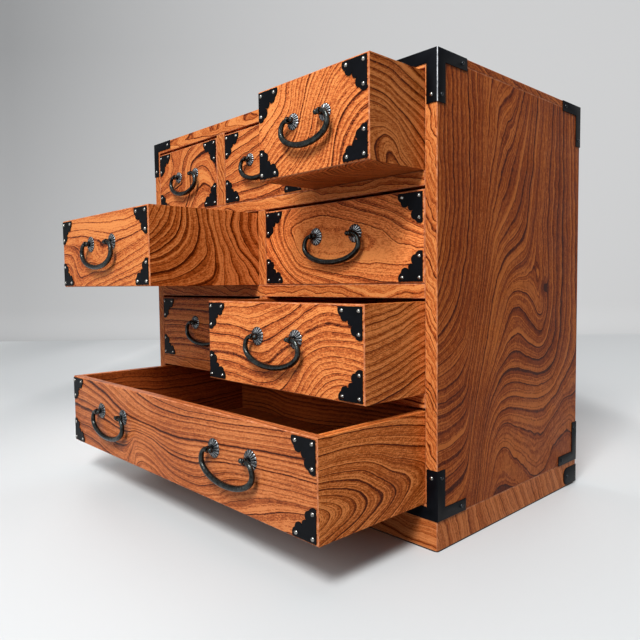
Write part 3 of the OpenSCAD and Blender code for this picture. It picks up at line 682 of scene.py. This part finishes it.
for name, (seed, bold, front_tone_and_shade, box_tone_and_shade) in DRAWERS.items():
    front, box_node = name + "_front", name + "_box"
    low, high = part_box(box_node)
    face_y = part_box(front)[0].y
    wood = keyaki(front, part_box(front), "xz", rows=FRONT_ROWS[name], knots=FRONT_KNOTS.get(name, ()), across=0.25,
                  tones=LONG if name == "long" else KEYAKI, seed=seed, gloss=0.34, light=front_tone_and_shade, bold=bold,
                  pores=0.7 if name == "long" else 1.0, flow_depth=0.14)
    outer = keyaki(box_node, (low, high), "yz", rows=SIDE_FIGURES[name], start=face_y, tones=BOX, fibre="y",
                   seed=seed + 10, gloss=0.4, light=box_tone_and_shade, pores=0.75)
    inner = keyaki(name + "_inside", (low, high), "yz", rows=LEVEL, start=face_y, waves=(0.4, 0.3), tones=INSIDE,
                   fibre="y", seed=seed + 13, gloss=0.5)
    inner_back = keyaki(name + "_back_inside", (low, high), "xz", rows=LEVEL, waves=(0.4, 0.3), tones=INSIDE,
                        seed=seed + 17, gloss=0.5)
    dress(front, wood, edge, outer)
    # The front's chamfers take the pale edge wood, partly worn and partly painted highlight
    for polygon in nodes[front].data.polygons:
        if max(abs(part) for part in polygon.normal) < FACING and polygon.normal.y < -0.5:
            polygon.material_index = EDGE_SLOT
        elif abs(polygon.normal.x) > FACING:
            polygon.material_index = 2
    dress(box_node, outer, inner, inner_back)
    for polygon in nodes[box_node].data.polygons:
        if not any(lies_on(polygon, low, high, axis, way) for axis, way in OUTER_SIDES):
            polygon.material_index = 2 if abs(polygon.normal.y) > FACING else 1
    soften(box_node, 0.0003)
    soften(front, 0.0002)


# Metals

def black_iron():
    t = Tree("black_iron")
    point = t.place()
    patches = t.noise(point, 0.12, 3.0)
    grain = t.noise(point, 2.2, 2.0)
    t.set("Base Color", t.ramp(patches, [(0.3, tone(4, 5, 8)), (0.7, tone(9, 11, 16))]))
    t.set("Specular IOR Level", 0.07)
    t.set("Roughness", t.range(grain, 0.3, 0.7, 0.38, 0.5))
    t.bump(grain, 0.00005, 0.35)
    return t.material


def nail_steel(name, dark, light):
    t = Tree(name)
    grain = t.noise(t.place(), 0.6, 2.0)
    t.set("Base Color", t.ramp(grain, [(0.3, dark), (0.6, light)]))
    t.set("Metallic", 1.0)
    t.set("Roughness", 0.26)
    return t.material


def gunmetal(name, dark, light, hammer):
    """Dark forged metal with hammer marks of a depth in metres."""
    t = Tree(name)
    point = t.place()
    patches = t.noise(point, 0.25, 3.0)
    t.set("Base Color", t.ramp(patches, [(0.3, dark), (0.7, light)]))
    t.set("Metallic", 0.9)
    t.set("Roughness", t.range(t.noise(point, 1.3, 2.0), 0.3, 0.7, 0.18, 0.32))
    t.bump(t.noise(point, 0.4, 1.0), hammer, 0.8)
    return t.material


# Near-black felt under the plinth; the strip also stands in for the contact shade along the plinth's foot, as painted
# shade
def felt():
    t = Tree("felt")
    fluff = t.noise(t.place(), 1.8, 3.0)
    t.set("Base Color", t.ramp(fluff, [(0.3, tone(10, 10, 11)), (0.7, tone(26, 26, 28))]))
    t.set("Roughness", 0.95)
    t.bump(fluff, 0.0003, 0.6)
    return t.material


def iron_fold_highlight():
    """Pale iron for the folds of the mounts, a painted highlight along the fold."""
    t = Tree("iron_fold_highlight")
    wear = t.noise(t.place(), 0.35, 3.0)
    t.set("Base Color", t.ramp(wear, [(0.3, tone(150, 152, 156)), (0.65, tone(226, 228, 232))]))
    t.set("Metallic", t.range(wear, 0.3, 0.6, 0.2, 0.5))
    t.set("Roughness", 0.4)
    return t.material


iron = black_iron()
painted_fold_highlight = iron_fold_highlight()
steel = nail_steel("nail_steel", tone(80, 80, 78), tone(158, 156, 150))
# A darker copy of the nail steel: painted shade for the nails on the chest's sides
side_nail_shade_steel = nail_steel("side_nail_painted_shade", tone(26, 28, 31), tone(58, 61, 64))
bail_metal = gunmetal("bail_metal", tone(26, 28, 28), tone(64, 68, 66), 0.0004)
rosette_metal = gunmetal("rosette_metal", tone(86, 88, 90), tone(154, 156, 158), 0.00008)
# Darker metal for the rosettes' flutes and the rings round their holes: painted shade
flute_and_hole_shade_metal = gunmetal("flute_and_hole_shade_metal", tone(20, 21, 22), tone(38, 40, 42), 0.00008)
post_metal = gunmetal("post_metal", tone(30, 31, 31), tone(56, 58, 58), 0.0001)

IRON_EDGE, PLATE_EDGE, NAIL_EDGE = 0.0002, 0.00015, 0.00005
STRAP_T, PLATE_T, ABOVE_PLATE = 0.0008, 0.0008, 0.00004

# The fold of an upper front iron carries a painted highlight, and the nails on the sides are darker than those in
# front as painted shade
for n in ("corner_irons_front", "corner_irons_rear", "plinth_irons"):
    dress(n, iron, painted_fold_highlight)
    for polygon in nodes[n].data.polygons:
        on_fold = max(abs(part) for part in polygon.normal) < FACING and abs(polygon.normal.z) < 0.1
        if on_fold and n == "corner_irons_front" and polygon.center.z > (case_low.z + case_high.z) / 2:
            polygon.material_index = 1
    soften(n, IRON_EDGE, smooth=True)
dress("case_nails", steel, side_nail_shade_steel)
for polygon in nodes["case_nails"].data.polygons:
    if abs(polygon.center.x) > case_high.x + STRAP_T:
        polygon.material_index = 1
soften("case_nails", NAIL_EDGE, smooth=True)
dress("base_felt", felt())

# A drawer's plates and the nails that stand proud of them
for name in DRAWERS:
    n = name + "_irons"
    dress(n, iron, steel)
    plate_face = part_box(name + "_front")[0].y - PLATE_T
    for polygon in nodes[n].data.polygons:
        if polygon.center.y < plate_face - ABOVE_PLATE:
            polygon.material_index = 1
    soften(n, PLATE_EDGE, smooth=True)
    for polygon in nodes[n].data.polygons:
        if polygon.material_index == 0:
            polygon.use_smooth = False


# Pulls, as finer pieces in the place of the CAD ones. All lengths are in metres.

LARGE = dict(span=0.0513, half=0.0357, drop=0.0252, rosette=0.0085)
SMALL = dict(span=0.0379, half=0.0278, drop=0.0222, rosette=0.007)
KNOB, PIN, NECK, BAR = 0.0022, 0.00145, 0.0019, 0.0026  # radii along a bail
EYE_HALF, EYE_GAP = 0.0012, 0.0008  # half an eye's width, and the gap on either side of it
WIDEST = 0.38  # where a bail is widest, as a share of its drop
REACH, FRONT = 0.0062, 0.0085  # from a bail's axis to the front's face, and the front's thickness
HOLE, CROWN, RIM, FLUTE = 0.0014, 0.0029, 0.0008, 0.0006  # a rosette's hole, height, rim and depth of flutes
PETALS, PETAL_STEPS = 16, 10
AROUND = PETALS * PETAL_STEPS


def mesh_piece(name, points, faces, material, body, slot):
    mesh = bpy.data.meshes.new(name)
    mesh.from_pydata([tuple(p) for p in points], [], faces)
    mesh.update()
    mesh.materials.append(material)
    for polygon in mesh.polygons:
        polygon.use_smooth = True
    piece = bpy.data.objects.new(name, mesh)
    scene.collection.objects.link(piece)
    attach(piece, body)
    return piece


def tube(line, radii, sides):
    """Points and faces of a closed round tube along a line in the XZ plane."""
    line = np.array(line, float)
    count = len(line)
    direction = np.gradient(line, axis=0)
    direction /= np.linalg.norm(direction, axis=1)[:, None]
    normal = np.stack([-direction[:, 2], np.zeros(count), direction[:, 0]], 1)
    points = []
    for p, n, r in zip(line, normal, radii):
        for angle in np.linspace(0, 2 * math.pi, sides, endpoint=False):
            points.append(p + n * (r * math.cos(angle)) + np.array((0, r * math.sin(angle), 0)))
    faces = []
    for i in range(count - 1):
        for j in range(sides):
            k = (j + 1) % sides
            faces.append((i * sides + j, (i + 1) * sides + j, (i + 1) * sides + k, i * sides + k))
    faces.append(tuple(range(sides)))
    faces.append(tuple((count - 1) * sides + j for j in range(sides - 1, -1, -1)))
    return points, faces


def bail_path(size):
    """Centre line and radii of a bail from one knob to the other, about its axis."""
    span, half, drop = size["span"], size["half"], size["drop"]
    shoulder = span / 2 + EYE_HALF + EYE_GAP
    knob_centre = span / 2 - EYE_HALF - EYE_GAP - KNOB
    widest = drop * WIDEST

    def radius(z):
        return NECK + (BAR - NECK) * math.sin(math.pi / 2 * min(1, -z / drop))

    half_bail = []  # as (x, z, radius), from the right-hand knob down to the middle
    for angle in np.linspace(0, math.pi - math.asin(PIN / KNOB), 12):
        half_bail.append((knob_centre - KNOB * math.cos(angle), 0, max(KNOB * math.sin(angle), 0.00015)))
    half_bail += [(shoulder - 0.0001, 0, PIN), (shoulder + 0.0001, 0, NECK * 0.97)]
    for angle in np.linspace(math.pi / 2 * 0.96, math.pi / 2 * 0.04, 14):
        z = widest * (math.sin(angle) - 1)
        half_bail.append((shoulder + (half - shoulder) * math.cos(angle), z, radius(z)))
    for angle in np.linspace(0, math.pi / 2, 22):
        z = -widest - (drop - widest) * math.sin(angle)
        half_bail.append((half * math.cos(angle), z, radius(z)))
    whole = half_bail + [(-x, z, r) for x, z, r in reversed(half_bail[:-1])]
    return [(x, 0, z) for x, z, r in whole], [r for x, z, r in whole]


ROSETTE_RINGS = [(None, "back"), (1.0, "back"), (1.0, "wall"), (0.97, "lip"), (0.9, "slope"),
                 *((share, "slope") for share in np.linspace(0.84, 0.3, 9)), (None, "crown"), (None, "back")]


def rosette(radius):
    """A fluted low cone facing -Y about the origin, its back on y = 0, with a hole for the shank. Its rings are
    shares of the radius, or None at the hole, and the part of the cone that they are on."""
    points = []
    for share, part in ROSETTE_RINGS:
        for i in range(AROUND):
            angle = 2 * math.pi * i / AROUND
            petal = abs(math.cos(PETALS * angle / 2))
            if share is None:
                ring_r, height = HOLE, CROWN if part == "crown" else 0.0
            else:
                ring_r = radius * share * (1 - 0.07 * (1 - petal ** 0.5))
                dome = RIM + (CROWN - RIM) * (1 - ((share * radius - HOLE) / (radius - HOLE)) ** 1.25)
                dip = FLUTE * (1 - petal ** 0.6) * min(1, 3.2 * (share - 0.2))
                height = {"back": 0.0, "wall": RIM * 0.45, "lip": RIM * 0.9 - dip * 0.8, "slope": dome - dip}[part]
            points.append((ring_r * math.cos(angle), -max(height, 0), ring_r * math.sin(angle)))
    faces = []
    for j in range(len(ROSETTE_RINGS) - 1):
        for i in range(AROUND):
            k = (i + 1) % AROUND
            faces.append((j * AROUND + i, j * AROUND + k, (j + 1) * AROUND + k, (j + 1) * AROUND + i))
    return points, faces


def ring_mesh(inner, wall, width, around=40, sides=14):
    """A ring about the X axis with a rounded section."""
    points, faces = [], []
    for i in range(around):
        angle = 2 * math.pi * i / around
        for j in range(sides):
            turn = 2 * math.pi * j / sides
            c, s = math.cos(turn), math.sin(turn)
            c = math.copysign(abs(c) ** 0.7, c)
            s = math.copysign(abs(s) ** 0.7, s)
            rad = inner + wall / 2 + wall / 2 * c
            points.append((width / 2 * s, rad * math.cos(angle), rad * math.sin(angle)))
    for i in range(around):
        for j in range(sides):
            a, b = i * sides + j, i * sides + (j + 1) % sides
            k = (i + 1) % around
            faces.append((a, b, k * sides + (j + 1) % sides, k * sides + j))
    return points, faces


def rod(start, end, radius, sides=20, flat=1.0):
    """A rod along Y or X from start to end, with slightly rounded ends and flattened across Z by flat."""
    start, end = np.array(start, float), np.array(end, float)
    direction = end - start
    length = np.linalg.norm(direction)
    direction /= length
    side = np.array((0, 0, 1.0))
    other = np.cross(direction, side)
    rounding = min(0.0003, length * 0.2)
    steps = [(0, 0.75), (rounding, 1), (length - rounding, 1), (length, 0.75)]
    points, faces = [], []
    for place, share in steps:
        for j in range(sides):
            angle = 2 * math.pi * j / sides
            points.append(start + direction * place
                          + (side * math.cos(angle) + other * math.sin(angle) * flat) * radius * share)
    for i in range(len(steps) - 1):
        for j in range(sides):
            k = (j + 1) % sides
            faces.append((i * sides + j, i * sides + k, (i + 1) * sides + k, (i + 1) * sides + j))
    faces.append(tuple(range(sides - 1, -1, -1)))
    faces.append(tuple((len(steps) - 1) * sides + j for j in range(sides)))
    return points, faces


def join(parts):
    """Several (points, faces, offset) as one mesh."""
    points, faces = [], []
    for part_points, part_faces, offset in parts:
        first = len(points)
        points += [np.array(p, float) + np.array(offset, float) for p in part_points]
        faces += [tuple(first + i for i in face) for face in part_faces]
    return points, faces


posts_of = {}
for child, joint in hinges.items():
    size = SMALL if child.startswith("top_") else LARGE
    centre = Vector(joint["pos_m"])
    line, radii = bail_path(size)
    points, faces = tube(line, radii, 28)
    points = [np.array(p) + np.array(centre) for p in points]
    piece = mesh_piece(child + "_forged", points, faces, bail_metal, child, "gunmetal")
    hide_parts(child)
    posts_of.setdefault(joint["parent"], []).append((centre, size))
INSIDE_Y = REACH + FRONT  # the inner face of a front, from a bail's axis
for body, pulls in posts_of.items():
    stem = body[: -len("_drawer")]
    flowers, eyes = [], []
    for centre, size in pulls:
        for side in (-1, 1):
            at = centre + Vector((side * size["span"] / 2, 0, 0))
            flowers.append((*rosette(size["rosette"]), at + Vector((0, REACH, 0))))
            eyes.append((*ring_mesh(0.0017, 0.00125, 2 * EYE_HALF), at))
            eyes.append((*rod((0, 0.0023, 0), (0, INSIDE_Y + 0.0008, 0), 0.0013), at))
            for way in (-1, 1):
                leg = rod((0, INSIDE_Y + 0.0005, 0), (way * 0.007, INSIDE_Y + 0.0005, 0), 0.00065, 12, 0.7)
                eyes.append((*leg, at))
    flower = mesh_piece(stem + "_rosettes", *join(flowers), rosette_metal, body, "gunmetal")
    flower.data.materials.append(flute_and_hole_shade_metal)
    rings = len(ROSETTE_RINGS) - 1
    for i, polygon in enumerate(flower.data.polygons):
        turn, ring = i % AROUND, i // AROUND % rings
        petal = abs(math.cos(math.pi * (turn + 0.5) / PETAL_STEPS))
        # Flutes and the rings round the hole take the painted-shade metal
        if ring >= rings - 4 or petal < 0.62:
            polygon.material_index = 1
    mesh_piece(stem + "_eyes", *join(eyes), post_metal, body, "gunmetal")
    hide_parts(stem + "_posts")


# Floor, backdrop and light

ALONG_ROOM = (0.685, 0.728, 0)  # to the right as the camera looks, level, and from one end of the room to the other
ROOM_HALF = 1.3


def studio_paper(name, colour, lifts, low_left=0.0, behind=None):
    """Plain paper that looks lighter to the camera and in glossy things than the light it gives back, through a glow
    that is painted light. By how much changes along the room, as in the photograph, with low_left added low down at
    its left end, and the curve behind added on the floor behind the chest, where it paints light over the chest's
    cast shadow."""
    t = Tree(name)
    path = t.add("ShaderNodeLightPath")
    seen = t.math("MAXIMUM", path.outputs["Is Camera Ray"], path.outputs["Is Glossy Ray"])
    seen = t.math("MAXIMUM", seen, path.outputs["Is Transmission Ray"])
    t.set("Base Color", t.mix(seen, tone(130, 134, 137), colour))
    t.set("Roughness", 0.7)
    t.set("Specular IOR Level", 0.1)
    place = t.add("ShaderNodeTexCoord").outputs["Object"]
    parts = t.split(place)
    along = t.add("ShaderNodeVectorMath", operation="DOT_PRODUCT")
    t.put(along.inputs[0], place)
    t.put(along.inputs[1], ALONG_ROOM)
    share = t.range(along.outputs["Value"], -ROOM_HALF, ROOM_HALF)
    lift = t.curve(share, lifts)
    if behind:
        far = t.range(parts[1], -0.1, 0.3)
        lift = t.math("MULTIPLY_ADD", far, t.curve(share, behind), lift)
    if low_left:
        low = t.range(parts[2], 0, 1.2, low_left, 0)
        lift = t.math("MULTIPLY_ADD", low, t.math("SUBTRACT", 1.0, share), lift)
    glow = t.add("ShaderNodeEmission")
    t.put(glow.inputs["Color"], (1, 1, 1, 1))
    t.put(glow.inputs["Strength"], t.math("MULTIPLY", seen, lift))
    both = t.add("ShaderNodeAddShader")
    t.put(both.inputs[0], t.shader.outputs[0])
    t.put(both.inputs[1], glow.outputs[0])
    output = next(n for n in t.tree.nodes if n.type == "OUTPUT_MATERIAL")
    t.put(output.inputs["Surface"], both.outputs[0])
    return t.material


# One sheet: a floor, a bend and a wall square to the camera's view
WALL_AWAY, WALL_HEIGHT, SHEET_HALF, SHEET_BEHIND = 2.6, 4.0, 6, 3.0
BEND, BEND_STEPS = 0.12, 8
flat_forward = Vector((forward.x, forward.y, 0)).normalized()
flat_right = Vector((flat_forward.y, -flat_forward.x, 0))
foot = Vector((EYE.x, EYE.y, 0))
profile = [(-SHEET_BEHIND, 0.0), (WALL_AWAY - BEND, 0.0)]
for step in range(1, BEND_STEPS + 1):
    angle = math.pi / 2 * step / BEND_STEPS
    profile.append((WALL_AWAY - BEND + BEND * math.sin(angle), BEND - BEND * math.cos(angle)))
profile.append((WALL_AWAY, WALL_HEIGHT))
points, faces = [], []
for way in (-SHEET_HALF, SHEET_HALF):
    for ahead, height in profile:
        p = foot + flat_forward * ahead + flat_right * way
        points.append((p.x, p.y, height))
for i in range(len(profile) - 1):
    faces.append((i, i + 1, len(profile) + i + 1, len(profile) + i))
# The floor's lift curves are painted light, and its behind curve paints light over the chest's shadow on the floor
# behind it
floor_paper = studio_paper("floor_paper", tone(213, 216, 217),
                           [(0, 0.3), (0.1, 0.2), (0.2, 0.17), (0.25, 0.14), (0.31, 0.0), (0.58, 0.0),
                            (0.655, 0.03), (0.69, 0.2), (0.78, 0.3), (1, 0.34)],
                           behind=[(0, 0.0), (0.1, 0.02), (0.17, 0.1), (0.24, 0.16), (0.3, 0.25), (0.37, 0.03),
                                   (0.5, 0.0), (1, 0.0)])
# The wall's lift curve and low_left are painted light, lighter towards the right and low down at the left
wall_paper = studio_paper("wall_paper", tone(188, 188, 188), [(0, 0.08), (0.5, 0.3), (1, 0.42)], low_left=0.17)
mesh = bpy.data.meshes.new("floor_and_backdrop")
mesh.from_pydata(points, [], faces)
mesh.materials.append(floor_paper)
mesh.materials.append(wall_paper)
for i, polygon in enumerate(mesh.polygons):
    polygon.use_smooth = True
    polygon.material_index = min(i, 1)
sheet = bpy.data.objects.new("floor_and_backdrop", mesh)
scene.collection.objects.link(sheet)
sheet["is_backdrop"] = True

# The world gives even light, and shows as a pale backdrop where the paper ends
world = bpy.data.worlds.new("world")
scene.world = world
world.use_nodes = True
sky = world.node_tree
room_light = sky.nodes["Background"]
room_light.inputs[0].default_value = (0.88, 0.98, 1.07, 1)
room_light.inputs[1].default_value = 0.13
backdrop = sky.nodes.new("ShaderNodeBackground")
backdrop.inputs[0].default_value = tone(204, 205, 206)
sky_path = sky.nodes.new("ShaderNodeLightPath")
showing = sky_path.outputs["Is Camera Ray"]
for ray in ("Is Glossy Ray", "Is Transmission Ray"):
    either = sky.nodes.new("ShaderNodeMath")
    either.operation = "MAXIMUM"
    sky.links.new(showing, either.inputs[0])
    sky.links.new(sky_path.outputs[ray], either.inputs[1])
    showing = either.outputs[0]
choice = sky.nodes.new("ShaderNodeMixShader")
sky.links.new(showing, choice.inputs[0])
sky.links.new(room_light.outputs[0], choice.inputs[1])
sky.links.new(backdrop.outputs[0], choice.inputs[2])
sky.links.new(choice.outputs[0], sky.nodes["World Output"].inputs["Surface"])


def lamp(name, place, target, width, height, power, spread=180, glossy=True):
    """A soft lamp that the camera doesn't see: metres, watts and degrees."""
    data = bpy.data.lights.new(name, "AREA")
    data.shape = "RECTANGLE"
    data.size = width
    data.size_y = height
    data.energy = power
    data.spread = math.radians(spread)
    piece = bpy.data.objects.new(name, data)
    scene.collection.objects.link(piece)
    piece.location = place
    piece.rotation_euler = (Vector(target) - Vector(place)).to_track_quat("-Z", "Y").to_euler()
    piece.visible_camera = False
    piece.visible_glossy = glossy


lamp("key", (0.7, -1.35, 1.65), (0, -0.15, 0.12), 0.6, 0.6, 43)
lamp("fill", (0.2, -1.8, 0.9), (0, -0.1, 0.2), 1.0, 1.0, 10)
lamp("overhead", (0, 0.1, 2.6), (0, -0.1, 0), 2.0, 2.0, 8)
lamp("behind", (-0.2, 0.95, 0.45), (0, 0.13, 0.22), 0.9, 0.4, 1.1, spread=60, glossy=False)
lamp("left", (-1.05, 0.1, 0.5), (-0.23, 0, 0.24), 0.4, 0.4, 1.1, spread=60, glossy=False)

bpy.context.view_layer.update()
low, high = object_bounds()
